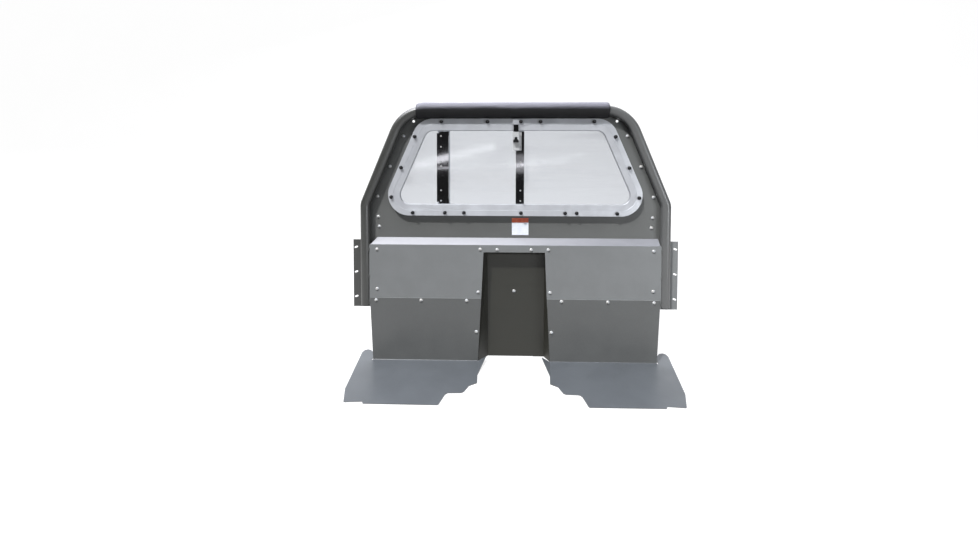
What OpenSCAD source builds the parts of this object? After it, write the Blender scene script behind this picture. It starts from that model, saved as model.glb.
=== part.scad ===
// Vehicle cab partition: a padded roll-bar hoop that carries a windowed upper panel, a lower panel
// with a console recess, and two extension panels with foot plates.
// X runs across the vehicle, Y points to the rear, Z is up. The floor is Z = 0 and the front face of
// the lower panel is Y = 0. All sizes are in millimetres.

/* [Hoop] */
// Half the distance between the two legs, centre to centre
hoop_half = 690.5; // [686:0.5:694]
// Height of the top run of the hoop
hoop_top = 1157; // [1140:1:1175]
// Lean of the sloping runs from the vertical
hoop_lean = 22.8; // [22.4:0.1:23.2]
// Height where the legs start to bend inward
knee_z = 714; // [708:1:720]
// Bend radius of the knees at the tube's centre line
knee_r = 60; // [50:1:70]
// Bend radius of the top corners at the tube's centre line
bend_r = 159; // [155:1:162]
// Outside diameter of the tube
tube_od = 44.5; // [42:0.5:46]
// Wall of the tube
tube_wall = 2.5; // [2:0.1:4]
// Height of the open lower ends of the legs
leg_bottom = 257; // [252:1:262]

/* [Pad] */
// Length of the foam sleeve
pad_len = 871; // [860:1:880]
// Outside diameter of the foam sleeve
pad_od = 74; // [66:1:76]
// How far the sleeve sits to one side of the middle
pad_shift = -11; // [-14:1:-4]

/* [Panels] */
// Thickness of every steel sheet
sheet = 2; // [1.5:0.1:2.5]
// How far the upper panel is set back behind the lower one
setback = 31; // [29:1:33]
// Height of the front edge of the sloping ledge
ledge_front_z = 540; // [536:1:544]
// Lower edge of the lower panel
lower_bottom_z = 250; // [246:1:256]
// Half width of the lower panel
lower_half = 669.5; // [667:0.5:670]
// Top edge of the extension panels
lep_top_z = 294; // [290:1:298]
// Depth of the console recess behind the lower panel
recess_depth = 52; // [45:1:60]

/* [Window] */
// Height of the corner centres at the top of the window frame
win_top_cz = 1022; // [1018:1:1026]
// Half distance between the top corner centres
win_top_cx = 375; // [370:1:380]
// Height of the corner centres at the bottom of the window frame
win_bot_cz = 769.5; // [765:0.5:772]
// Half distance between the bottom corner centres
win_bot_cx = 487; // [482:1:490]
// Outer corner radius of the window frame
win_r = 96; // [92:1:98]
// How far the frame stands proud of the upper panel
frame_depth = 22; // [20:1:24]
// Thickness of the polycarbonate panes
pane_t = 6; // [4:0.5:6]
// How far the window opens
slide_travel = 300; // [200:10:310]

/* [Brackets] */
// Distance from one bracket slot to the next
slot_pitch = 117; // [110:1:120]
// Height of the middle slot
slot_mid_z = 404; // [400:1:408]
// Tilt of the slots from the horizontal
slot_tilt = 22; // [0:1:30]
// Length of a slot from end to end
slot_len = 18; // [16:1:22]
// Width of a slot
slot_w = 8; // [7:0.5:9]

/* [Hidden] */

$fn = 48;
tube_r = tube_od / 2;
hoop_y = 12;                       // the hoop's centre plane
slip = 0.3;                        // gap between round faces that do not touch
small = 0.02;                      // how far cutters run past a face
hair = 0.01;                       // gap between the lengths of the hoop and of the window frame
hair_turn = 0.004;                 // the same gap as an angle in the hoop's top corners

// Centres of the hoop's two bends on the right-hand side
knee_c = [hoop_half - knee_r, knee_z];
run_foot = knee_c + knee_r * [cos(hoop_lean), sin(hoop_lean)];
run_len = (hoop_top - bend_r * (1 - sin(hoop_lean)) - run_foot[1]) / cos(hoop_lean);
run_head = run_foot + run_len * [-sin(hoop_lean), cos(hoop_lean)];
shoulder_c = run_head - bend_r * [cos(hoop_lean), sin(hoop_lean)];
shoulder_mid = (hoop_lean + 90) / 2;

// Planes of the upper assembly, from front to rear
panel_y = setback;
frame_y = panel_y - frame_depth;   // front face of the aluminium window frame
slider_y = frame_y + 12;           // front face of the sliding pane
gasket_y = panel_y + sheet;
gasket_t = 1.5;
fixed_y = gasket_y + gasket_t;     // front face of the fixed panes
clamp_y = fixed_y + pane_t;
clamp_t = 3;
stile_y = slider_y - 3;            // front face of the black stiles

// Window outline: corner centres counter-clockwise from the top right, and their outward normals
win_c = [[win_top_cx, win_top_cz], [-win_top_cx, win_top_cz],
  [-win_bot_cx, win_bot_cz], [win_bot_cx, win_bot_cz]];
side_len = norm(win_c[0] - win_c[3]);
side_a = atan2(win_bot_cx - win_top_cx, win_top_cz - win_bot_cz);
corner_a = [side_a, 90, 180 - side_a, 270];
corner_turn = [90 - side_a, 90 - side_a, 90 + side_a, 90 + side_a];
frame_w = 52.5;                    // width of the frame seen from the front
cut_in = 30;                       // the panel's cut-out lies this far inside the frame's outer edge
screw_in = 13.5;                   // the frame's screws lie this far inside its outer edge
screw_r = 3;

// Screws of the window frame, [x, z]
top_row_z = win_top_cz + win_r - screw_in;
bottom_row_z = win_bot_cz - win_r + screw_in;
frame_screw_xz = concat(
  [for (x = [-335, -124, 28.5, 118, 361]) [x, top_row_z]],
  [for (s = [-1, 1]) for (p = [[458, 1036], [522, 894], [568, 758], [469, 686]]) [s * p[0], p[1]]],
  [for (x = [-320, -232, 30.5, 232.5, 285]) [x, bottom_row_z]]);

// Sliding window
slider_x = [-355, 40];
slider_z = [715, 1075];
fixed_gap_x = [-300, 8];         // the clear opening between the two fixed panes
stile_z = [729, 1061];
left_stile_x = [-359, -302];
right_stile_x = [6, 44];
screw_rows = [742, 790, 902, 921, 991, 1040];

// Latch
latch_x = 6.5;
latch_z = [974, 1057];
bolt_x = [-4.5, 17.5];
bolt_y = [frame_y - 7, frame_y - 2];
bolt_top = 1089.5;
knob_z = 1018;
bolt_travel = 10;
latch_screw_z = [991, 1040];
knob_back = frame_y - 13;
stud_r = 3;

// Bolts, given for the right-hand side as [x, z] and mirrored
upper_bolt_xz = [[518, 1041], [581.5, 900], [640.5, 760], [637.5, 665], [632.5, 619]];
open_hole_xz = [469, 1109.5];
open_hole_r = 6;
lower_bolt_xz = [[634, 516], [634, 332], [156, 519], [78, 518], [165, 321]];
lep_bolt_xz = [[638.5, 280], [429, 281], [218, 281.5], [172.5, 137]];
bolt_r = 4;
head_r = 8.5;
head_h = 4.8;
nut_af = 13;
nut_h = 6.5;

// Console recess, right-hand half of its front edge as [x, z]
recess_top = [141, 507];
recess_foot = [164.5, 0];
recess_back_x = [-124, 141];
recess_back_top = 488;
pan_bolt_z = 313;

// Foot plate on the right-hand side, [x, y] from the inner end of the bend round the front
foot_xy = [[165.5, 0], [150, -193], [181, -216], [196, -260], [206, -268], [258, -270.5],
  [267, -282], [280, -351], [565, -350], [572, -337], [641, -343], [675, -252],
  [734, 66], [731, 92], [718, 101], [700, 94], [682, 70], [665, 36], [659, 8], [659, -7]];
bend_out = 5;                      // outer radius of the sheet-metal bends
lep_foot_half = [165.5, 655];
lep_top_half = [151.5, 667];

bracket_x = [683, 758];
bracket_z = [239, 557];
bracket_y = hoop_y + tube_r + 0.3;
bracket_t = 3;
slot_x = 745;

// ---------------------------------------------------------------- helpers

// Stands a shape drawn in X and Z upright, with its front face at y
module upright(y, t) {
  translate([0, y + t, 0]) rotate([90, 0, 0]) linear_extrude(t) children();
}

// A round bar along Y from y0 to y1
module bar_y(x, z, r, y0, y1) {
  translate([x, y1, z]) rotate([90, 0, 0]) cylinder(r = r, h = y1 - y0);
}

module both_sides() {
  children();
  mirror([1, 0, 0]) children();
}

function arc(c, r, a0, a1, n = 12) =
  [for (i = [0:n]) c + r * [cos(a0 + (a1 - a0) * i / n), sin(a0 + (a1 - a0) * i / n)]];

// The window's rounded outline at radius r round the corner centres
module window_outline(r) {
  for (c = win_c) translate(c) circle(r = r);
  polygon([for (i = [0:3]) for (a = [corner_a[i], corner_a[i] + corner_turn[i]])
    win_c[i] + r * [cos(a), sin(a)]]);
}

// Runs a cross-section round the window outline; it is drawn as [radius, -y]. The four corners and
// the four straights stand a hair apart.
module run_round_window() {
  rotate([90, 0, 0]) for (i = [0:3]) translate(win_c[i]) rotate(corner_a[i]) {
    rotate_extrude(angle = corner_turn[i], $fn = 96) children();
    translate([0, -hair, 0]) rotate([90, 0, 0])
      linear_extrude(norm(win_c[i] - win_c[(i + 3) % 4]) - 2 * hair) children();
  }
}

// The hoop as a bar of radius r, with a bore of radius hole. Its eleven lengths stand a hair apart.
module hoop_solid(r, foot = leg_bottom, hole = 0) {
  module section() {
    difference() {
      circle(r = r);
      if (hole > 0) circle(r = hole);
    }
  }
  module bend(c, turn_r, a0, a1) {
    translate([c[0], hoop_y, c[1]]) rotate([90, 0, 0]) rotate(a0)
      rotate_extrude(angle = a1 - a0, $fn = 96) translate([turn_r, 0]) section();
  }
  both_sides() {
    translate([hoop_half, hoop_y, foot]) linear_extrude(knee_z - foot - hair) section();
    bend(knee_c, knee_r, 0, hoop_lean);
    translate([run_foot[0], hoop_y, run_foot[1]]) rotate([0, -hoop_lean, 0])
      translate([0, 0, hair]) linear_extrude(run_len - 2 * hair) section();
    bend(shoulder_c, bend_r, hoop_lean, shoulder_mid);
    bend(shoulder_c, bend_r, shoulder_mid + hair_turn, 90);
  }
  translate([-shoulder_c[0] + hair, hoop_y, hoop_top]) rotate([0, 90, 0])
    linear_extrude(2 * (shoulder_c[0] - hair)) section();
}

// Carriage bolt with a domed head on the face at y
module carriage_bolt(x, z, y, grip) {
  dome_r = (head_r * head_r + head_h * head_h) / (2 * head_h);
  translate([x, y, z]) rotate([90, 0, 0]) intersection() {
    translate([0, 0, head_h - dome_r]) sphere(r = dome_r);
    cylinder(r = head_r + 1, h = head_h + 1);
  }
  bar_y(x, z, bolt_r, y - small, y + grip);
}

// Hexagon nut on a washer behind the face at y
module nut(x, z, y, r = bolt_r, af = nut_af, h = nut_h) {
  washer_t = 1.5;
  translate([x, y, z]) rotate([-90, 0, 0]) difference() {
    union() {
      cylinder(r = af * 0.72, h = washer_t);
      translate([0, 0, washer_t]) cylinder(r = af / sqrt(3), h = h, $fn = 6);
    }
    translate([0, 0, -1]) cylinder(r = r + 0.1, h = h + washer_t + 2);
  }
}

module holes(list, r, y0, y1) {
  for (p = list) bar_y(p[0], p[1], r, y0, y1);
}

// ---------------------------------------------------------------- hoop and pad

module roll_bar_tube() {
  color("dimgray") hoop_solid(tube_r, leg_bottom, tube_r - tube_wall);
}

module leg_end_plugs() {
  plug_in = 18;
  color("black") both_sides() {
    translate([hoop_half, hoop_y, leg_bottom])
      cylinder(r = tube_r - tube_wall - 0.05, h = plug_in);
    translate([hoop_half, hoop_y, leg_bottom - 3]) cylinder(r = tube_r, h = 3);
  }
}

// The foam is pressed onto the hoop where the hoop starts to bend. The upper panel's top edge
// stands in a slit along the foam's underside.
module roll_bar_pad() {
  slit = [sheet + 0.6, pad_od / 2];
  color("slategray") difference() {
    translate([pad_shift - pad_len / 2, hoop_y, hoop_top]) rotate([0, 90, 0]) difference() {
      cylinder(r = pad_od / 2, h = pad_len);
      translate([0, 0, -1]) cylinder(r = tube_r + 0.3, h = pad_len + 2);
    }
    translate([pad_shift - pad_len / 2 - 1, panel_y - 0.3, hoop_top - slit[1] - 1])
      cube([pad_len + 2, slit[0], slit[1]]);
  }
}

// Tabs welded behind the hoop that the upper panel is bolted to
module tube_tabs() {
  tab_h = 34;
  tab_t = 3;
  color("dimgray") difference() {
    both_sides() for (p = upper_bolt_xz) {
      lean = p[1] > knee_z + 20 ? hoop_lean : 0;
      translate([p[0], gasket_y, p[1]]) rotate([0, -lean, 0])
        translate([-14, 0, -tab_h / 2]) cube([74, tab_t, tab_h]);
    }
    hoop_solid(tube_r + 0.02);
    both_sides() holes(upper_bolt_xz, bolt_r + slip, panel_y, panel_y + 20);
    upright(gasket_y - 1, 30) window_outline(win_r - 4.5);
  }
}

// ---------------------------------------------------------------- upper panel and window

module upper_panel() {
  edge = 12.3;                     // inset from the hoop's centre line
  bottom_z = ledge_front_z - 8;
  half = concat([[hoop_half - edge, bottom_z]], arc(knee_c, knee_r - edge, 0, hoop_lean),
    arc(shoulder_c, bend_r - edge, hoop_lean, 90));
  outline = concat(half, [for (i = [len(half) - 1:-1:0]) [-half[i][0], half[i][1]]]);
  color("gray") difference() {
    upright(panel_y, sheet) difference() {
      polygon(outline);
      window_outline(win_r - cut_in);
    }
    both_sides() {
      holes(upper_bolt_xz, bolt_r + slip, panel_y - 1, panel_y + 5);
      bar_y(open_hole_xz[0], open_hole_xz[1], open_hole_r, panel_y - 1, panel_y + 5);
    }
    holes(frame_screw_xz, screw_r + slip, panel_y - 1, panel_y + 5);
  }
}

// Cross-section of the frame, drawn as [distance inside the outer edge, distance from the panel]
module frame_section() {
  wall = 2.5;
  lip_front = 5;                   // the sloping lip falls this far from the flat band
  track = [13.5, 2.5];             // the pane's channel, measured from the upper panel
  channel_floor = 39;
  translate([win_r, -panel_y]) mirror([1, 0]) polygon([
    [0, 0], [0, frame_depth], [25, frame_depth], [26, frame_depth - 1.2], [27, frame_depth - 0.6],
    [frame_w - 1, frame_depth - lip_front], [frame_w, frame_depth - lip_front - 1],
    [frame_w, track[0] - 1], [channel_floor, track[0] - 1], [channel_floor, track[1]],
    [frame_w, track[1]], [frame_w, 0.05], [channel_floor - wall, 0.05],
    [channel_floor - wall, frame_depth - wall - 4], [27 - wall, frame_depth - wall],
    [wall, frame_depth - wall], [wall, 0]]);
}

module window_frame() {
  joint_x = 266.5;
  color("silver") difference() {
    run_round_window() frame_section();
    holes(frame_screw_xz, screw_r + slip, frame_y - 1, panel_y + 1);
    translate([joint_x, frame_y - 1, win_bot_cz - win_r - 1])
      cube([0.6, frame_depth + 2, frame_w + 2]);
  }
}

// Key that joins the frame's two ends inside the hollow section
module frame_splice_key() {
  color("silver") translate([246.8, panel_y - 17, win_bot_cz - win_r + 19])
    cube([40, 6, 10]);
}

module window_gasket() {
  color("black") difference() {
    upright(gasket_y, gasket_t) difference() {
      window_outline(win_r - 5);
      window_outline(win_r - cut_in);
    }
    holes(frame_screw_xz, screw_r + slip, gasket_y - 1, gasket_y + 3);
  }
}

module fixed_pane(x0, x1) {
  color("aliceblue") difference() {
    intersection() {
      upright(fixed_y, pane_t) window_outline(win_r - 5);
      translate([x0, fixed_y - 1, win_bot_cz - win_r]) cube([x1 - x0, pane_t + 2, 500]);
    }
    holes(frame_screw_xz, screw_r + slip, fixed_y - 1, fixed_y + pane_t + 1);
  }
}

module fixed_pane_left() {
  fixed_pane(-700, fixed_gap_x[0]);
}

module fixed_pane_right() {
  fixed_pane(fixed_gap_x[1], 700);
}

// Bars that fill the clamped gap above and below the opening
module pane_spacers() {
  bar_h = 32;
  length = fixed_gap_x[1] - fixed_gap_x[0] - 1;
  color("silver") difference() {
    for (z = [win_top_cz + win_r - 5 - bar_h, win_bot_cz - win_r + 5])
      translate([fixed_gap_x[0] + 0.5, fixed_y, z]) cube([length, pane_t, bar_h]);
    holes(frame_screw_xz, screw_r + slip, fixed_y - 1, fixed_y + pane_t + 1);
  }
}

module rear_clamp_ring() {
  color("silver") difference() {
    upright(clamp_y, clamp_t) difference() {
      window_outline(win_r - 5);
      window_outline(win_r - 48);
    }
    holes(frame_screw_xz, screw_r + slip, clamp_y - 1, clamp_y + clamp_t + 1);
  }
}

module frame_bolts() {
  color("silver") for (p = frame_screw_xz) bar_y(p[0], p[1], screw_r, frame_y - 6, clamp_y + 10);
}

// Domed caps over the screw heads
module frame_caps() {
  cap_r = 8.5;
  cap_h = 12;
  color("black") for (p = frame_screw_xz) difference() {
    translate([p[0], frame_y, p[1]]) rotate([90, 0, 0]) union() {
      cylinder(r = cap_r, h = 2);
      translate([0, 0, 2]) cylinder(r = cap_r - 1.2, h = cap_h - 6);
      translate([0, 0, cap_h - 4]) intersection() {
        translate([0, 0, -5]) sphere(r = 9);
        cylinder(r = cap_r, h = 4);
      }
    }
    bar_y(p[0], p[1], screw_r + 0.1, frame_y - 6.2, frame_y + 1);
  }
}

module frame_nuts() {
  color("silver") for (p = frame_screw_xz) nut(p[0], p[1], clamp_y + clamp_t, screw_r, 10, 5);
}

// Striker on the frame's top band, with a pocket for the latch bolt
module keeper_plate() {
  base_x = [-15, 62];
  base_z = [1091, 1117];
  pocket_x = [bolt_x[0] - 1.8, bolt_x[1] + 0.7];
  bridge_y = frame_y - 10.5;
  color("silver") difference() {
    union() {
      translate([base_x[0], frame_y - 1.5, base_z[0]])
        cube([base_x[1] - base_x[0], 1.5, base_z[1] - base_z[0]]);
      translate([pocket_x[0] - 2.5, bridge_y, base_z[0]])
        cube([pocket_x[1] - pocket_x[0] + 4.5, frame_y - bridge_y, 21]);
    }
    translate([pocket_x[0], bridge_y + 2.5, base_z[0] - 1])
      cube([pocket_x[1] - pocket_x[0], 6.5, 19]);
    bar_y(28.5, top_row_z, head_r + slip, frame_y - 20, frame_y + 1);
  }
}

// ---------------------------------------------------------------- sliding window and latch

module sliding_pane() {
  color("aliceblue") difference() {
    translate([slider_x[0], slider_y, slider_z[0]])
      cube([slider_x[1] - slider_x[0], pane_t, slider_z[1] - slider_z[0]]);
    for (z = screw_rows) {
      bar_y(left_stile_x[0] + 20, z, 2.3, slider_y - 1, slider_y + pane_t + 1);
      bar_y(27.5, z, 2.3, slider_y - 1, slider_y + pane_t + 1);
    }
  }
}

// Plastic shoes that carry the pane in its channels
module glide_shoes() {
  shoe = [30, 8.4, 9];
  pane_gap = 0.1;
  color("black") for (x = [slider_x[0] + 10, slider_x[1] - 40]) for (top = [0, 1])
    difference() {
      translate([x, slider_y + pane_t / 2 - shoe[1] / 2, top ? slider_z[1] - 7.5 : slider_z[0] - 1.5])
        cube(shoe);
      translate([x - 1, slider_y - pane_gap, slider_z[0]])
        cube([shoe[0] + 2, pane_t + 2 * pane_gap, slider_z[1] - slider_z[0]]);
    }
}

module stile_holes(x) {
  for (z = screw_rows) bar_y(x, z, 2.3, stile_y - 1, slider_y + 1);
}

module left_stile() {
  leg = 12;
  height = stile_z[1] - stile_z[0];
  color("black") difference() {
    union() {
      translate([left_stile_x[0] + 11, stile_y, stile_z[0]])
        cube([left_stile_x[1] - left_stile_x[0] - 11, 3, height]);
      translate([left_stile_x[0] + 0.5, stile_y, stile_z[0] + 8]) cube([11, 3, height - 16]);
      translate([left_stile_x[1] - 3, stile_y - leg, stile_z[0] + 20]) cube([3, leg, height - 40]);
    }
    stile_holes(left_stile_x[0] + 20);
  }
}

module right_stile() {
  leg = 12;
  height = stile_z[1] - stile_z[0];
  color("black") difference() {
    union() {
      translate([right_stile_x[0], stile_y, stile_z[0]])
        cube([right_stile_x[1] - right_stile_x[0], 3, height]);
      translate([right_stile_x[1] - 3, stile_y - leg, stile_z[0]]) cube([3, leg, height]);
    }
    stile_holes(27.5);
  }
}

module stile_screws() {
  head = 3.6;
  color("silver") for (x = [left_stile_x[0] + 20, 27.5]) for (z = screw_rows)
    if (x < 0 || z < 960) {
      bar_y(x, z, head, stile_y - 2, stile_y);
      bar_y(x, z, 2.1, stile_y - small, slider_y + pane_t + 1);
    }
}

module latch_housing() {
  half_w = 14.5;
  front = frame_y - 11;
  cavity = [bolt_x[0] - 0.7, bolt_x[1] + 0.7];
  color("silver") difference() {
    union() {
      translate([latch_x - half_w, front, latch_z[0]])
        cube([2 * half_w, stile_y - front, latch_z[1] - latch_z[0]]);
      translate([latch_x + half_w - small, stile_y - 3, latch_z[0]])
        cube([11, 3, latch_z[1] - latch_z[0]]);
    }
    translate([cavity[0], bolt_y[0] - 0.5, latch_z[0] + 8])
      cube([cavity[1] - cavity[0], 6, latch_z[1]]);
    translate([latch_x - 6, front - 1, knob_z - 6]) cube([12, bolt_y[0] - front + 1, bolt_travel + 12]);
    for (z = latch_screw_z) bar_y(27.5, z, 2.3, stile_y - 6, stile_y + 1);
  }
}

module latch_screws() {
  color("silver") for (z = latch_screw_z) {
    bar_y(27.5, z, 3.4, stile_y - 5, stile_y - 3);
    bar_y(27.5, z, 2.1, stile_y - 3 - small, stile_y + 2);
  }
}

module latch_bolt() {
  low = latch_z[0] + 12;
  color("black") difference() {
    translate([bolt_x[0], bolt_y[0], low])
      cube([bolt_x[1] - bolt_x[0], bolt_y[1] - bolt_y[0], bolt_top - low]);
    bar_y(latch_x, knob_z, stud_r + 0.08, bolt_y[0] - 1, bolt_y[1] - 1);
  }
}

// Stud that the knob screws onto, with a collar that bears on the latch bolt
module latch_stud() {
  color("silver") {
    bar_y(latch_x, knob_z, 4.5, knob_back + slip, bolt_y[0] - 0.1);
    bar_y(latch_x, knob_z, stud_r, knob_back - 8, knob_back + slip + small);
    bar_y(latch_x, knob_z, stud_r, bolt_y[0] - 0.1 - small, bolt_y[1] - 1.5);
  }
}

// Three-lobed hand knob
module latch_knob() {
  lobes = 3;
  thick = 13;
  color("black") difference() {
    union() {
      bar_y(latch_x, knob_z, 8.5, knob_back - thick, knob_back);
      for (i = [0:lobes - 1]) translate([latch_x, 0, knob_z]) rotate([0, i * 360 / lobes, 0])
        bar_y(0, 8.5, 6, knob_back - thick + 1, knob_back - 1);
    }
    bar_y(latch_x, knob_z, stud_r + 0.1, knob_back - 8.5, knob_back + 1);
  }
}

module info_label() {
  color("white") translate([-11, panel_y - 0.4, 583]) cube([77, 0.4, 79]);
}

// ---------------------------------------------------------------- lower panels

module lower_panel() {
  rear_x = [-640, lower_half - 7]; // ends of the ledge's rear edge; the left corner is cut off
  ledge_z = ledge_front_z + setback - 2;
  return_w = 16;
  color("gray") difference() {
    union() {
      upright(0, sheet) polygon([[-lower_half, lower_bottom_z], [lower_half, lower_bottom_z],
        [lower_half, ledge_front_z - 5], [lower_half - 4, ledge_front_z],
        [-lower_half + 4, ledge_front_z], [-lower_half, ledge_front_z - 5]]);
      hull() {
        translate([-lower_half + 6, 0, ledge_front_z - sheet]) cube([2 * lower_half - 12, 0.5, sheet]);
        translate([rear_x[0], setback - 2.5, ledge_z - sheet]) cube([rear_x[1] - rear_x[0], 0.5, sheet]);
      }
      translate([rear_x[0], setback - 2.5, ledge_z - return_w])
        cube([rear_x[1] - rear_x[0], sheet, return_w]);
    }
    upright(-1, setback + 5) polygon([recess_top, [recess_foot[0], 0], [-recess_foot[0], 0],
      [-recess_top[0], recess_top[1]]]);
    both_sides() holes(concat(lower_bolt_xz, lep_bolt_xz), bolt_r + slip, -1, 5);
    hoop_solid(tube_r + 0.02);
  }
}

// Recessed pan behind the cut-out, with a flange that the panels bolt through
module console_pan() {
  flange = 26;
  rise = 1;
  lean = atan2(recess_foot[0] - recess_top[0], recess_top[1]);
  function front_x(z) = recess_top[0] + (recess_top[1] - z) * tan(lean);
  module shell(grow, low) {
    hull() {
      upright(sheet, 0.1) polygon([[front_x(low) + grow, low],
        [recess_top[0] + grow, recess_top[1] + grow],
        [-recess_top[0] - grow, recess_top[1] + grow], [-front_x(low) - grow, low]]);
      upright(recess_depth + grow - 0.1, 0.1) polygon([[recess_back_x[1] + grow, low],
        [recess_back_x[1] + grow, recess_back_top + grow],
        [recess_back_x[0] - grow, recess_back_top + grow], [recess_back_x[0] - grow, low]]);
    }
  }
  color("dimgray") difference() {
    union() {
      shell(sheet, rise);
      upright(sheet, sheet) polygon([[front_x(rise) + flange, rise],
        [recess_top[0] + flange + 2, recess_top[1] + flange],
        [-recess_top[0] - flange - 2, recess_top[1] + flange], [-front_x(rise) - flange, rise]]);
    }
    shell(0, -5);
    upright(-1, 5) polygon([[front_x(-5), -5], recess_top, [-recess_top[0], recess_top[1]],
      [-front_x(-5), -5]]);
    both_sides() holes(concat(lower_bolt_xz, lep_bolt_xz), bolt_r + slip, -1, 5);
    bar_y(0, pan_bolt_z, bolt_r + slip, recess_depth - 3, recess_depth + 5);
    translate([-200, recess_depth - 1, -1]) cube([290, 5, 3]);
  }
}

// Extension panel for the right-hand side: upright sheet, bend, foot plate and tunnel flange
module lower_extension() {
  front = -sheet;
  bend_in = bend_out - sheet;
  flange_top = [-36, 20];          // how far the tunnel flange leans in and rises at the panel
  module chip(x, y, z) {
    translate([x, y, z]) cube([2, 2, 1.6]);
  }
  difference() {
    union() {
      upright(front, sheet) polygon([[lep_foot_half[0], bend_out], [lep_foot_half[1], bend_out],
        [lep_top_half[1], lep_top_z], [lep_top_half[0], lep_top_z]]);
      translate([lep_foot_half[0], -bend_out, bend_out]) rotate([90, 0, 90])
        linear_extrude(lep_foot_half[1] - lep_foot_half[0]) difference() {
          intersection() {
            circle(r = bend_out);
            translate([0, -bend_out]) square(bend_out);
          }
          circle(r = bend_in);
        }
      difference() {
        linear_extrude(sheet) offset(r = 8) offset(delta = -8) polygon(foot_xy);
        translate([0, -bend_out, -1]) cube([660, 200, 5]);
      }
      hull() {
        chip(156.5, -140, 0);
        chip(164.5, -4, 0);
        chip(164.5 + flange_top[0], -4, flange_top[1]);
      }
    }
    holes(lep_bolt_xz, bolt_r + slip, -5, 5);
  }
}

module lower_extension_left() {
  color("gray") mirror([1, 0, 0]) lower_extension();
}

module lower_extension_right() {
  color("gray") lower_extension();
}

// ---------------------------------------------------------------- brackets

module side_bracket() {
  color("dimgray") difference() {
    translate([bracket_x[0], bracket_y, bracket_z[0]])
      cube([bracket_x[1] - bracket_x[0], bracket_t, bracket_z[1] - bracket_z[0]]);
    for (i = [-1:1]) translate([slot_x, bracket_y - 1, slot_mid_z + i * slot_pitch])
      rotate([0, slot_tilt, 0]) {
        reach = (slot_len - slot_w) / 2;
        for (s = [-1, 1]) bar_y(s * reach, 0, slot_w / 2, 0, bracket_t + 2);
        translate([-reach, 0, -slot_w / 2]) cube([2 * reach, bracket_t + 2, slot_w]);
      }
  }
}

module side_bracket_left() {
  mirror([1, 0, 0]) side_bracket();
}

module side_bracket_right() {
  side_bracket();
}

// ---------------------------------------------------------------- bolts, nuts and welds

module upper_panel_bolts() {
  color("silver") both_sides() for (p = upper_bolt_xz) carriage_bolt(p[0], p[1], panel_y, 16);
}

module upper_panel_nuts() {
  color("silver") both_sides() for (p = upper_bolt_xz) nut(p[0], p[1], gasket_y + 3);
}

module lower_panel_bolts() {
  color("silver") {
    both_sides() for (p = lower_bolt_xz) carriage_bolt(p[0], p[1], 0, 16);
    carriage_bolt(0, pan_bolt_z, recess_depth, 14);
  }
}

// The two outer pairs hold the lower panel only; the inner ones hold the console pan as well
module lower_panel_nuts() {
  color("silver") {
    both_sides() for (p = lower_bolt_xz) nut(p[0], p[1], p[0] > 200 ? sheet : 2 * sheet);
    nut(0, pan_bolt_z, recess_depth + sheet);
  }
}

module extension_bolts() {
  color("silver") both_sides() for (p = lep_bolt_xz) carriage_bolt(p[0], p[1], -sheet, 18);
}

module extension_nuts() {
  color("silver") both_sides() for (p = lep_bolt_xz)
    nut(p[0], p[1], p[0] > 200 ? sheet : 2 * sheet);
}

// Stitch welds where the lower panel meets the hoop
module panel_welds() {
  spans = [[262, 280], [386, 400], [508, 524]];
  color("dimgray") difference() {
    both_sides() for (s = spans)
      translate([lower_half + 1, -0.6, s[0]]) cylinder(r = 2.6, h = s[1] - s[0]);
    translate([-lower_half - small, -small, 0]) cube([2 * (lower_half + small), sheet + 1, 600]);
    hoop_solid(tube_r + 0.02);
  }
}

module bracket_welds() {
  spans = [[262, 286], [388, 412], [520, 545]];
  color("dimgray") difference() {
    both_sides() for (s = spans) for (x = [hoop_half - 6, hoop_half + 9])
      translate([x, bracket_y - 1, s[0]]) cylinder(r = 2.8, h = s[1] - s[0]);
    hoop_solid(tube_r + 0.02);
    both_sides() translate([bracket_x[0] - small, bracket_y - small, 0]) cube([100, 20, 700]);
  }
}

roll_bar_tube();
leg_end_plugs();
roll_bar_pad();
tube_tabs();
upper_panel();
window_frame();
frame_splice_key();
window_gasket();
fixed_pane_left();
fixed_pane_right();
pane_spacers();
rear_clamp_ring();
frame_bolts();
frame_caps();
frame_nuts();
keeper_plate();
sliding_pane();
glide_shoes();
left_stile();
right_stile();
stile_screws();
latch_housing();
latch_screws();
latch_bolt();
latch_stud();
latch_knob();
info_label();
lower_panel();
console_pan();
lower_extension_left();
lower_extension_right();
side_bracket_left();
side_bracket_right();
upper_panel_bolts();
upper_panel_nuts();
lower_panel_bolts();
lower_panel_nuts();
extension_bolts();
extension_nuts();
panel_welds();
bracket_welds();
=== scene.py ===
import math

import bmesh
import bpy
from mathutils import Matrix, Quaternion, Vector, noise


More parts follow.
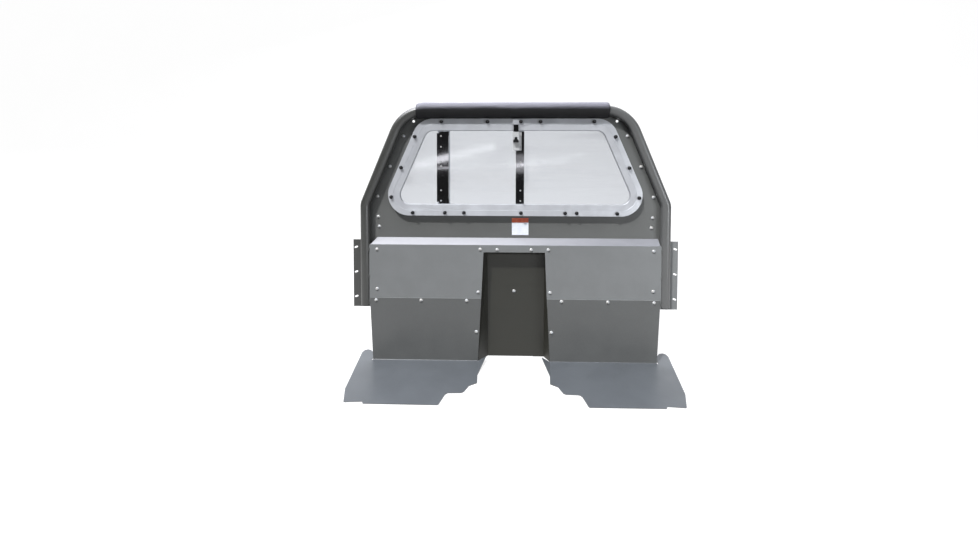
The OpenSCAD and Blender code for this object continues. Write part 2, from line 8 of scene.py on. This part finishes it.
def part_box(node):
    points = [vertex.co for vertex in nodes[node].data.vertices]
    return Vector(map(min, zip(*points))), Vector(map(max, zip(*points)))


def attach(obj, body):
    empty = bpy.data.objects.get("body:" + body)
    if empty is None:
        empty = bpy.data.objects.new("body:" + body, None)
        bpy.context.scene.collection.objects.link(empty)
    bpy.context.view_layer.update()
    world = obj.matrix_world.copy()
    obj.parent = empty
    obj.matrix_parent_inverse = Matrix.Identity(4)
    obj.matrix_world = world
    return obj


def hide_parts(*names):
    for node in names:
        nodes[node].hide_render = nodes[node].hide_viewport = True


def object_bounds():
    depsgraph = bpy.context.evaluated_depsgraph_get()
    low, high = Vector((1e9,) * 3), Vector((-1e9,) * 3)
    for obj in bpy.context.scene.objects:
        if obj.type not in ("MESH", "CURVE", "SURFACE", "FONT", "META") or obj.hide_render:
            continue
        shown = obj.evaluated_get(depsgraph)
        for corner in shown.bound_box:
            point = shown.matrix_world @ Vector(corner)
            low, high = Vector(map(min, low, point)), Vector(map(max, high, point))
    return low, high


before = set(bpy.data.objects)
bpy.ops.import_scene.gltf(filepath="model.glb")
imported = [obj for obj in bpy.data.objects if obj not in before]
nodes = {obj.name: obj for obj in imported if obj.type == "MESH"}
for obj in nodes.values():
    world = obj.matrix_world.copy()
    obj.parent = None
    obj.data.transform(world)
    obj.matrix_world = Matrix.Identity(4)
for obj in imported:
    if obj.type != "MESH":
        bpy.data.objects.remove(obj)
cad_low, cad_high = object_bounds()

# ---- Camera -------------------------------------------------------------------------------------

CAMERA_AT = Vector((0.0056, -1.75, 0.8482))
CAMERA_YAW = math.radians(-1.387)
CAMERA_PITCH = math.radians(1.805)
CAMERA_ROLL = math.radians(0.189)
LENS_MM = 14.137
SENSOR_MM = 36.0
SHIFT_RIGHT = -0.0177
SHIFT_UP = -0.0869


def make_camera():
    """The camera, a little above the window's lower edge, looking almost straight at the front."""
    forward = Vector((math.sin(CAMERA_YAW) * math.cos(CAMERA_PITCH),
                      math.cos(CAMERA_YAW) * math.cos(CAMERA_PITCH),
                      -math.sin(CAMERA_PITCH)))
    level = Vector((math.cos(CAMERA_YAW), -math.sin(CAMERA_YAW), 0))
    upward = level.cross(forward)
    right = math.cos(CAMERA_ROLL) * level + math.sin(CAMERA_ROLL) * upward
    up = -math.sin(CAMERA_ROLL) * level + math.cos(CAMERA_ROLL) * upward
    data = bpy.data.cameras.new("camera")
    data.sensor_width = SENSOR_MM
    data.lens = LENS_MM
    data.shift_x = SHIFT_RIGHT
    data.shift_y = SHIFT_UP
    data.clip_start = 0.05
    data.clip_end = 100
    camera = bpy.data.objects.new("camera", data)
    turn = Matrix((right, up, -forward)).transposed().to_4x4()
    camera.matrix_world = Matrix.Translation(CAMERA_AT) @ turn
    bpy.context.scene.collection.objects.link(camera)
    bpy.context.scene.camera = camera


# ---- Small helpers for node materials -----------------------------------------------------------


class Nodes:
    """A material's node tree with short ways to add what the materials below share."""

    def __init__(self, name):
        self.material = bpy.data.materials.new(name)
        self.material.use_nodes = True
        self.tree = self.material.node_tree
        self.tree.nodes.clear()
        self.output = self.add("ShaderNodeOutputMaterial")
        self.place = self.add("ShaderNodeTexCoord").outputs["Object"]

    def add(self, kind, **settings):
        node = self.tree.nodes.new(kind)
        for key, value in settings.items():
            setattr(node, key, value)
        return node

    def link(self, source, target):
        self.tree.links.new(source, target)

    def feed(self, target, value):
        """Links value if it is a socket, and else sets it on the target."""
        if isinstance(value, bpy.types.NodeSocket):
            self.link(value, target)
        else:
            target.default_value = value

    def stretched(self, stretch, turn=(0, 0, 0)):
        """The object's coordinates, scaled per axis and turned."""
        mapping = self.add("ShaderNodeMapping")
        mapping.inputs["Scale"].default_value = stretch
        mapping.inputs["Rotation"].default_value = turn
        self.link(self.place, mapping.inputs["Vector"])
        return mapping.outputs[0]

    def noise(self, scale, detail=3.0, rough=0.5, at=None):
        """Cloudy noise, about 0.5 on average."""
        node = self.add("ShaderNodeTexNoise")
        node.inputs["Scale"].default_value = scale
        node.inputs["Detail"].default_value = detail
        node.inputs["Roughness"].default_value = rough
        self.link(at or self.place, node.inputs["Vector"])
        return node.outputs["Fac"]

    def band(self, value, low, high, to_low=0.0, to_high=1.0):
        """value from low..high mapped smoothly to to_low..to_high."""
        node = self.add("ShaderNodeMapRange", interpolation_type="SMOOTHSTEP")
        self.feed(node.inputs["Value"], value)
        node.inputs["From Min"].default_value = low
        node.inputs["From Max"].default_value = high
        node.inputs["To Min"].default_value = to_low
        node.inputs["To Max"].default_value = to_high
        return node.outputs["Result"]

    def math(self, operation, a, b=0.0):
        node = self.add("ShaderNodeMath", operation=operation)
        self.feed(node.inputs[0], a)
        self.feed(node.inputs[1], b)
        return node.outputs[0]

    def mix(self, share, a, b):
        """The colour a turning to b as share goes from 0 to 1."""
        node = self.add("ShaderNodeMix", data_type="RGBA")
        self.feed(node.inputs[0], share)
        self.feed(node.inputs[6], a)
        self.feed(node.inputs[7], b)
        return node.outputs[2]

    def axis(self, name):
        split = self.add("ShaderNodeSeparateXYZ")
        self.link(self.place, split.inputs[0])
        return split.outputs[name]

    def facing_up(self, kind):
        """The Z part of the surface's Normal or True Normal: 1 where it faces up."""
        split = self.add("ShaderNodeSeparateXYZ")
        self.link(self.add("ShaderNodeNewGeometry").outputs[kind], split.inputs[0])
        return split.outputs["Z"]

    def edges(self, radius):
        """1 along the sharp edges of the mesh, and 0 on its faces."""
        bevel = self.add("ShaderNodeBevel", samples=4)
        bevel.inputs["Radius"].default_value = radius
        geometry = self.add("ShaderNodeNewGeometry")
        dot = self.add("ShaderNodeVectorMath", operation="DOT_PRODUCT")
        self.link(bevel.outputs[0], dot.inputs[0])
        self.link(geometry.outputs["Normal"], dot.inputs[1])
        return self.band(dot.outputs["Value"], 0.995, 0.8)

    def bump(self, height, distance, strength=1.0, under=None):
        node = self.add("ShaderNodeBump")
        node.inputs["Strength"].default_value = strength
        node.inputs["Distance"].default_value = distance
        self.link(height, node.inputs["Height"])
        if under is not None:
            self.link(under, node.inputs["Normal"])
        return node.outputs[0]

    def surface(self, color, rough, normal=None, **sockets):
        """One Principled shader on the output."""
        shader = self.add("ShaderNodeBsdfPrincipled")
        self.feed(shader.inputs["Base Color"], color)
        self.feed(shader.inputs["Roughness"], rough)
        if normal is not None:
            self.link(normal, shader.inputs["Normal"])
        for key, value in sockets.items():
            shader.inputs[key.replace("_", " ")].default_value = value
        self.link(shader.outputs[0], self.output.inputs[0])
        return shader


def rgb(red, green, blue):
    return (red, green, blue, 1.0)


def shade(color, factor):
    return tuple(min(1.0, c * factor) for c in color[:3]) + (1.0,)


# ---- Materials ----------------------------------------------------------------------------------


DULLED = 0.12              # how much darker the dull patches of upward faces are
TUNNEL_HALF = 0.166        # the extension panels' tunnel flanges lie nearer the middle than this
SHEET_FRONT = -0.005       # and in front of this
FLANGE_SOFT = 0.0005       # half the soft edge of that zone
SEAM_WIDTH = 0.0022        # the painted highlight along the extension panels' top edge
SEAM_SOFT = 0.0004         # half its soft edge


def powder_coat(name, color, rough=0.42, edge_lift=1.7, lacquer=0.0, right=None, top=None,
                top_shaded_right=None, flange=None, top_edge_highlight=None):
    """Semi-gloss powder coat: orange peel, soft mottling, a few rubs, pale edges of wear and
    painted highlight.

    The other colours are optional: right is the coat's tone at the right-hand side, a painted
    gradient of light and shade across X; top and top_shaded_right are those of faces that slope
    upward, on the ledge a painted reflection of the roof light that turns darker to the right as
    painted shade; flange is the tunnel flanges', and seam is that of the painted highlight along
    the extension panels' top edge."""
    n = Nodes(name)
    mottling = n.noise(9, 4, 0.6)
    speckle = n.noise(420, 2, 0.6)
    rubs = n.noise(5, 5, 0.65, n.stretched((1, 1, 5)))
    tone = n.mix(n.band(mottling, 0.3, 0.7), shade(color, 0.93), shade(color, 1.07))
    grain = n.mix(n.band(speckle, 0.35, 0.65), shade(color, 0.86), shade(color, 1.14))
    body = n.mix(0.4, tone, grain)
    # A painted gradient of light and shade across X: darker at the left, lighter at the right.
    if right is not None:
        body = n.mix(n.band(n.axis("X"), -0.35, 0.35), body, right)
    if flange is not None:
        inner = n.band(n.math("ABSOLUTE", n.axis("X")), TUNNEL_HALF + FLANGE_SOFT,
                       TUNNEL_HALF - FLANGE_SOFT)
        front = n.band(n.axis("Y"), SHEET_FRONT + 2 * FLANGE_SOFT, SHEET_FRONT - 2 * FLANGE_SOFT)
        body = n.mix(n.math("MULTIPLY", inner, front), body, flange)
    # A painted highlight along the extension panels' top edge, broken into patches by noise.
    if top_edge_highlight is not None:
        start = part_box("lower_extension_left")[1].z - SEAM_WIDTH
        rim = n.band(n.axis("Z"), start - SEAM_SOFT, start + SEAM_SOFT)
        highlight_patches = n.band(n.noise(7, 3), 0.3, 0.6, 0.5, 1)
        body = n.mix(n.math("MULTIPLY", rim, highlight_patches), body, top_edge_highlight)
    # On the ledge the upward faces are a painted reflection of the roof light, turning darker
    # towards the right as painted shade.
    if top_shaded_right is not None:
        top = n.mix(n.band(n.axis("X"), -0.3, 0.6), top, top_shaded_right)
    if top is not None:
        dulled = n.mix(DULLED, top, rgb(0, 0, 0))
        rubbed = n.mix(n.band(rubs, 0.3, 0.7), dulled, top)
        body = n.mix(n.band(n.facing_up("True Normal"), 0.35, 0.6), body, rubbed)
    # Pale edges: wear in patches, and painted edge highlights.
    edge_wear_and_highlight = n.math("MULTIPLY", n.edges(0.0018), n.band(n.noise(38, 3), 0.25, 0.6))
    body = n.mix(edge_wear_and_highlight, body, shade(color, edge_lift))
    gloss = n.math("ADD", n.band(mottling, 0.3, 0.7, rough - 0.04, rough + 0.04),
                   n.band(rubs, 0.5, 0.8, 0.0, 0.12))
    peel = n.bump(n.noise(650, 2, 0.5), 0.00005)
    n.surface(body, gloss, peel, Specular_IOR_Level=0.5, Coat_Weight=lacquer,
              Coat_Roughness=0.3)
    return n.material


def anodised(name, color, rough=0.34, brushed=(1, 1, 1)):
    """Satin aluminium: fine drawing lines, faint stains, brighter handled edges."""
    n = Nodes(name)
    lines = n.noise(260, 3, 0.7, n.stretched(brushed))
    stains = n.noise(14, 4, 0.6)
    body = n.mix(n.band(stains, 0.35, 0.7), shade(color, 0.94), shade(color, 1.04))
    body = n.mix(n.math("MULTIPLY", n.edges(0.001), 0.6), body, shade(color, 1.25))
    gloss = n.math("ADD", n.band(lines, 0.3, 0.7, rough - 0.05, rough + 0.06),
                   n.band(stains, 0.4, 0.7, 0.0, 0.06))
    n.surface(body, gloss, n.bump(lines, 0.00003), Metallic=0.45)
    return n.material


def zinc_plate(name):
    """Zinc with a slight blue and yellow cast from the passivation, and painted shade on the heads'
    downward-facing undersides.
    """
    n = Nodes(name)
    cast = n.noise(90, 3, 0.6)
    body = n.mix(n.band(cast, 0.35, 0.65), rgb(0.39, 0.41, 0.43), rgb(0.42, 0.41, 0.39))
    # Painted shade: downward-facing parts of the heads turn dark.
    body = n.mix(n.band(n.facing_up("Normal"), -0.75, -0.2), rgb(0.05, 0.052, 0.055), body)
    gloss = n.band(n.noise(400, 2), 0.3, 0.7, 0.3, 0.44)
    n.surface(body, gloss, n.bump(n.noise(500, 3), 0.000008), Metallic=0.15)
    return n.material


def black_satin(name):
    """Moulded black plastic with fine grain and dusty edges."""
    n = Nodes(name)
    color = rgb(0.008, 0.008, 0.009)
    grain = n.noise(700, 2, 0.6)
    dust_and_sheen = n.noise(30, 4, 0.6)
    body = n.mix(n.band(dust_and_sheen, 0.45, 0.8), color, shade(color, 2.2))
    body = n.mix(n.math("MULTIPLY", n.edges(0.0008), 0.5), body, shade(color, 5))
    gloss = n.band(dust_and_sheen, 0.3, 0.8, 0.37, 0.54)
    n.surface(body, gloss, n.bump(grain, 0.00004), Specular_IOR_Level=0.22)
    return n.material


def gloss_black(name):
    """Black-chromed steel: mirror-like, with fine specks and faint lengthwise polishing lines."""
    n = Nodes(name)
    specks = n.noise(240, 3, 0.7)
    lines = n.noise(180, 2, 0.6, n.stretched((1, 1, 0.08)))
    body = n.mix(n.band(specks, 0.5, 0.75), rgb(0.2, 0.2, 0.215), rgb(0.3, 0.3, 0.32))
    body = n.mix(n.math("MULTIPLY", n.edges(0.0006), 0.4), body, rgb(0.6, 0.6, 0.62))
    gloss = n.math("ADD", n.band(specks, 0.4, 0.8, 0.03, 0.09), n.band(lines, 0.3, 0.7, 0.0, 0.02))
    n.surface(body, gloss, n.bump(lines, 0.000004), Metallic=1.0)
    return n.material


def rubber(name):
    """Matt black rubber with a pale bloom in patches."""
    n = Nodes(name)
    bloom = n.noise(45, 4, 0.6)
    body = n.mix(n.band(bloom, 0.4, 0.75), rgb(0.018, 0.018, 0.019), rgb(0.05, 0.05, 0.052))
    n.surface(body, n.band(bloom, 0.3, 0.7, 0.6, 0.78), n.bump(n.noise(900, 2), 0.00008))
    return n.material


def foam_skin(name):
    """The sleeve's smooth closed-cell skin: pores, faint lengthwise drag marks, a painted sheen on
    top.
    """
    n = Nodes(name)
    drag = n.noise(55, 4, 0.6, n.stretched((0.25, 3, 3)))
    pores = n.add("ShaderNodeTexVoronoi", feature="F1")
    pores.inputs["Scale"].default_value = 480
    n.link(n.place, pores.inputs["Vector"])
    scuffs = n.noise(16, 5, 0.65)
    color = rgb(0.011, 0.011, 0.012)
    body = n.mix(n.band(drag, 0.3, 0.7), shade(color, 0.85), shade(color, 1.15))
    body = n.mix(n.band(scuffs, 0.55, 0.8, 0.0, 0.5), body, shade(color, 1.6))
    # A painted sheen on the upward side: a pale bluish grey where the skin faces up, in patches.
    dust_and_sheen = n.math("MULTIPLY", n.band(n.facing_up("Normal"), -0.1, 0.52),
                  n.band(drag, 0.25, 0.6, 0.75, 1.0))
    body = n.mix(dust_and_sheen, body, rgb(0.14, 0.14, 0.165))
    gloss = n.math("ADD", n.band(drag, 0.3, 0.7, 0.48, 0.56), n.band(scuffs, 0.5, 0.8, 0, 0.1))
    relief = n.bump(drag, 0.0006, 0.6, n.bump(pores.outputs["Distance"], 0.00025, 0.5))
    n.surface(body, gloss, relief, Specular_IOR_Level=0.18)
    return n.material


def clear_sheet(name):
    """Polycarbonate: a light grey tint, a mirror-like skin and soft, hazy diagonal wiping marks
    that are also painted reflection streaks.
    """
    n = Nodes(name)
    wipe = (0, math.radians(14), 0)
    # The diagonal wiping marks are hazy smears and also painted reflection streaks.
    swipe = n.noise(2.6, 2, 0.45, n.stretched((0.3, 1, 2.6), wipe))
    fine = n.noise(160, 2, 0.6, n.stretched((0.05, 1, 1), wipe))
    haze_and_painted_streaks = n.math("ADD", n.band(swipe, 0.5, 0.68, 0.02, 0.16), n.band(fine, 0.4, 0.8, 0, 0.03))
    fresnel = n.add("ShaderNodeFresnel")
    fresnel.inputs["IOR"].default_value = 1.5
    sheet = n.add("ShaderNodeBsdfTransparent")
    sheet.inputs["Color"].default_value = rgb(0.765, 0.775, 0.79)
    film = n.surface(n.mix(n.band(swipe, 0.5, 0.7), rgb(0.75, 0.77, 0.8), rgb(0.9, 0.9, 0.9)),
                     n.band(fine, 0.3, 0.7, 0.3, 0.45))
    skin = n.surface(rgb(0.95, 0.96, 1.0), n.band(fine, 0.3, 0.7, 0.06, 0.1), Metallic=1.0)
    for share, over in ((haze_and_painted_streaks, film), (fresnel.outputs[0], skin)):
        mixer = n.add("ShaderNodeMixShader")
        n.feed(mixer.inputs[0], share)
        n.link(sheet.outputs[0], mixer.inputs[1])
        n.link(over.outputs[0], mixer.inputs[2])
        sheet = mixer
    n.link(sheet.outputs[0], n.output.inputs[0])
    return n.material


def label_film(name):
    """A blank sticker: an orange-red strip over a pale field, a little faded at its edges."""
    low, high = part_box("info_label")
    strip_share, soft = 0.27, 0.0004
    n = Nodes(name)
    header = high.z - strip_share * (high.z - low.z)
    fade = n.band(n.noise(60, 4, 0.6), 0.35, 0.7)
    field = n.mix(fade, rgb(0.76, 0.8, 0.88), rgb(0.84, 0.87, 0.92))
    strip = n.mix(fade, rgb(0.62, 0.1, 0.05), rgb(0.7, 0.16, 0.08))
    color = n.mix(n.band(n.axis("Z"), header - soft, header + soft), field, strip)
    n.surface(color, n.band(fade, 0, 1, 0.3, 0.42), n.bump(n.noise(300, 2), 0.00003))
    return n.material


PAPER_GLOW = 0.8


def white_floor(name):
    """Seamless studio paper. It glows a little, so that it stays white where light is thin."""
    n = Nodes(name)
    n.surface(n.mix(n.noise(3, 3), rgb(0.2, 0.2, 0.2), rgb(0.22, 0.22, 0.22)), 0.9,
              Emission_Color=rgb(1, 1, 1), Emission_Strength=PAPER_GLOW)
    return n.material


# The upper panel's, hoop's, lower panel's and extension panels' greys are lighter and darker copies
# of one grey paint; their differences are painted light and shade.
UPPER_SHADED_GREY = rgb(0.1, 0.103, 0.1)
# The hoop's coat turns from the first of these greys at the left to the second at the right: a
# painted gradient of light and shade.
HOOP_SHADED_GREY = rgb(0.038, 0.039, 0.036)
HOOP_RIGHT_LIT_GREY = rgb(0.092, 0.094, 0.093)
PANEL_LIT_GREY = rgb(0.173, 0.18, 0.182)
# The ledge's upward faces: a painted reflection of the roof light, darker towards the right as
# painted shade.
LEDGE_PAINTED_REFLECTION_GREY = rgb(0.3, 0.305, 0.33)
LEDGE_RIGHT_SHADED_GREY = rgb(0.21, 0.215, 0.235)
EXTENSION_SHADED_GREY = rgb(0.091, 0.094, 0.093)
FOOT_BLUE = rgb(0.088, 0.097, 0.106)
# The painted highlight along the extension panels' top edge.
TOP_EDGE_HIGHLIGHT_GREY = rgb(0.3, 0.31, 0.31)
RECESS_GREY = rgb(0.0185, 0.0185, 0.014)
FLANGE_OLIVE = rgb(0.085, 0.082, 0.056)

# Nodes whose coat is not the upper panel's
# The left side bracket takes the darker hoop coat and the right one the lighter panel coat: painted
# shade and light on a matching pair.
COATS = {"roll_bar_tube": "hoop_coat", "side_bracket_left": "hoop_coat",
         "lower_panel": "panel_coat", "side_bracket_right": "panel_coat",
         "lower_extension_left": "extension_coat", "lower_extension_right": "extension_coat"}


def paint_everything():
    """Gives every CAD node its material: a coat of COATS, or else what its slot's name asks for."""
    coats = {"hoop_coat": powder_coat("hoop_coat", HOOP_SHADED_GREY, 0.34, lacquer=0.3,
                                      right=HOOP_RIGHT_LIT_GREY),
             "panel_coat": powder_coat("panel_coat", PANEL_LIT_GREY, top=LEDGE_PAINTED_REFLECTION_GREY,
                                       top_shaded_right=LEDGE_RIGHT_SHADED_GREY),
             "extension_coat": powder_coat("extension_coat", EXTENSION_SHADED_GREY, 0.38, 1.2,
                                           top=FOOT_BLUE, flange=FLANGE_OLIVE, top_edge_highlight=TOP_EDGE_HIGHLIGHT_GREY)}
    soft_black = rubber("black_rubber")
    by_slot = {"grey_coat": powder_coat("grey_coat", UPPER_SHADED_GREY),
               "dark_coat": powder_coat("dark_coat", RECESS_GREY, 0.45),
               "black_coat": gloss_black("black_coat"),
               "frame_aluminium": anodised("frame_aluminium", rgb(0.52, 0.535, 0.565)),
               "latch_metal": anodised("latch_metal", rgb(0.66, 0.67, 0.68), 0.3, (1, 1, 4)),
               "zinc": zinc_plate("zinc"),
               "polycarbonate": clear_sheet("polycarbonate"),
               "pad_foam": soft_black,
               "black_rubber": soft_black,
               "black_plastic": black_satin("black_plastic"),
               "label_sheet": label_film("label_sheet")}
    for name, obj in nodes.items():
        for slot in obj.material_slots:
            asked = slot.material.name.split(".")[0]
            found = next((k for k in by_slot if asked.endswith(k)), "grey_coat")
            slot.material = coats[COATS[name]] if name in COATS else by_slot[found]


# ---- The foam sleeve ----------------------------------------------------------------------------


BORE = 0.0226               # radius of the sleeve's bore, a little over the tube's
BEND = 0.159                # radius of the hoop's top bends at the tube's centre line
STRAIGHT = 0.4037           # half the length of the hoop's straight top run
SLIT_GAP = 0.0003           # between the slit's walls and the upper panel
END_ROUND = 0.002           # rounding of the cut ends
INSET = 0.0011              # how far the skin lies inside the CAD pad, so its lumps stay inside too
LUMP = 0.0009               # height of the skin's broad lumps
RIPPLE = 0.0003             # height of its fine ones
AROUND = 64                 # points round the skin, and round the bore
ALONG = 150                 # steps along the sleeve


def foam_sleeve():
    """A split foam sleeve pressed over the hoop's top run. It follows the first of the hoop's bends
    at each end, and the upper panel's top edge stands in its slit."""
    low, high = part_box("roll_bar_pad")
    panel_low, panel_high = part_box("upper_panel")
    centre = (low + high) / 2
    outer = (high.z - low.z) / 2
    slit_low = panel_low.y - SLIT_GAP - centre.y
    slit_high = panel_high.y + SLIT_GAP - centre.y

    def turn(r, k):
        """The angle of the k-th point on the radius r, from one wall of the slit to the other."""
        first = -math.acos(slit_high / r)
        last = -math.acos(slit_low / r) + 2 * math.pi
        return first + (last - first) * k / (AROUND - 1)

    def skin_radius(x, a):
        """Lumpy, and rounded off at the cut ends."""
        to_end = min(x - low.x, high.x - x)
        short = max(0.0, END_ROUND - to_end)
        rounding = END_ROUND - math.sqrt(max(0.0, END_ROUND**2 - short**2))
        lump = noise.noise(Vector((x * 9, math.cos(a) * 1.4, math.sin(a) * 1.4))) * LUMP
        ripple = noise.noise(Vector((x * 30, math.cos(a) * 4 + 7, math.sin(a) * 4))) * RIPPLE
        return outer - INSET + lump + ripple - rounding

    def point(x, r, a):
        """The point at radius r and angle a round the tube, which droops past its straight run."""
        past = max(0.0, abs(x) - STRAIGHT)
        droop = BEND - math.sqrt(BEND * BEND - past * past)
        return (x, centre.y + r * math.cos(a), centre.z - droop + r * math.sin(a))

    mesh = bmesh.new()
    rings = []
    for i in range(ALONG + 1):
        x = low.x + (high.x - low.x) * i / ALONG
        skin = [point(x, skin_radius(x, a), a) for a in (turn(outer, k) for k in range(AROUND))]
        bore = [point(x, BORE, turn(BORE, k)) for k in reversed(range(AROUND))]
        rings.append([mesh.verts.new(at) for at in skin + bore])
    count = 2 * AROUND
    for a, b in zip(rings, rings[1:]):
        for k in range(count):
            m = (k + 1) % count
            mesh.faces.new((a[k], a[m], b[m], b[k]))
    for ring in (rings[0], rings[-1]):
        for k in range(AROUND - 1):
            mesh.faces.new((ring[k], ring[k + 1], ring[count - 2 - k], ring[count - 1 - k]))
    bmesh.ops.recalc_face_normals(mesh, faces=mesh.faces)
    for face in mesh.faces:
        face.smooth = True
    data = bpy.data.meshes.new("foam_sleeve")
    mesh.to_mesh(data)
    mesh.free()
    sleeve = bpy.data.objects.new("foam_sleeve", data)
    bpy.context.scene.collection.objects.link(sleeve)
    data.materials.append(foam_skin("pad_foam"))
    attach(sleeve, "frame")
    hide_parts("roll_bar_pad")


# ---- Studio -------------------------------------------------------------------------------------


def sweep_floor():
    """Seamless paper: flat under the object, then curving up into a wall behind it."""
    half, front, start, radius, top = 9.0, -9.0, 1.6, 1.2, 7.0
    steps = 12
    line = [(front, 0.0), (start, 0.0)]
    for i in range(1, steps + 1):
        a = math.radians(90) * i / steps
        line.append((start + radius * math.sin(a), radius - radius * math.cos(a)))
    line.append((start + radius, top))
    data = bpy.data.meshes.new("studio_paper")
    verts = [(s * half, y, z) for y, z in line for s in (-1, 1)]
    faces = [(2 * i, 2 * i + 1, 2 * i + 3, 2 * i + 2) for i in range(len(line) - 1)]
    data.from_pydata(verts, [], faces)
    for face in data.polygons:
        face.use_smooth = True
    paper = bpy.data.objects.new("studio_paper", data)
    data.materials.append(white_floor("studio_paper"))
    bpy.context.scene.collection.objects.link(paper)
    paper.visible_diffuse = False


def softbox(name, at, target, size, power, color=(1, 1, 1), roll=0.0):
    """A rectangular light at one place aimed at another, rolled about its aim by roll degrees."""
    data = bpy.data.lights.new(name, "AREA")
    data.shape = "RECTANGLE"
    data.size, data.size_y = size
    data.energy = power
    data.color = color
    lamp = bpy.data.objects.new(name, data)
    lamp.location = at
    lamp.rotation_mode = "QUATERNION"
    aim = (Vector(target) - Vector(at)).to_track_quat("-Z", "Y")
    lamp.rotation_quaternion = aim @ Quaternion((0, 0, 1), math.radians(roll))
    lamp.visible_camera = False
    bpy.context.scene.collection.objects.link(lamp)


KEY_WAY = Vector((0.7, 1.0, -1.6))      # the way the key light travels
KEY_POWER = 4.1
KEY_SPREAD = 3.5                        # in degrees: how soft the key's shadows are
AMBIENT = 0.045
# Strips of light in front, that show as streaks in the panes and the glossy stiles:
# name, place, target, size, power and roll in degrees
STREAKS = (("streak", (-1.1, -5.0, 1.23), (-0.33, 0.02, 0.9), (1.5, 0.12), 2.1, 14),
           ("thin_streak", (-0.3, -5.0, 1.07), (-0.1, 0.02, 0.9), (2.4, 0.03), 0.7, 3),
           ("right_streak", (0.6, -5.0, 1.16), (0.3, 0.02, 0.9), (1.3, 0.03), 0.4, 11),
           ("window_glow", (0.15, -5.0, 1.1), (0, 0.02, 0.9), (0.5, 0.32), 0.42, 0))


def light_studio():
    """A hard key from the upper left, a broad roof light, a weak fill from the right, streaks."""
    middle = (cad_low + cad_high) / 2
    key = bpy.data.lights.new("key", "SUN")
    key.energy = KEY_POWER
    key.angle = math.radians(KEY_SPREAD)
    lamp = bpy.data.objects.new("key", key)
    lamp.rotation_mode = "QUATERNION"
    lamp.rotation_quaternion = KEY_WAY.to_track_quat("-Z", "Y")
    bpy.context.scene.collection.objects.link(lamp)
    softbox("roof", middle + Vector((-0.6, 0.35, 2.7)), middle, (4.4, 3.0), 270, (0.92, 0.93, 1.0))
    softbox("right_fill", middle + Vector((2.6, -2.4, 0.2)), middle + Vector((0.4, 0, 0)),
            (1.4, 2.0), 55, (0.93, 0.96, 1.0))
    for name, at, target, size, power, roll in STREAKS:
        softbox(name, at, target, size, power, roll=roll)
    world = bpy.data.worlds.new("studio")
    world.use_nodes = True
    back = world.node_tree.nodes["Background"]
    back.inputs["Color"].default_value = rgb(1, 1, 1)
    back.inputs["Strength"].default_value = AMBIENT
    bpy.context.scene.world = world
    bpy.context.scene.view_settings.view_transform = "Standard"
    bpy.context.scene.view_settings.look = "None"


make_camera()
sweep_floor()
light_studio()
paint_everything()
foam_sleeve()
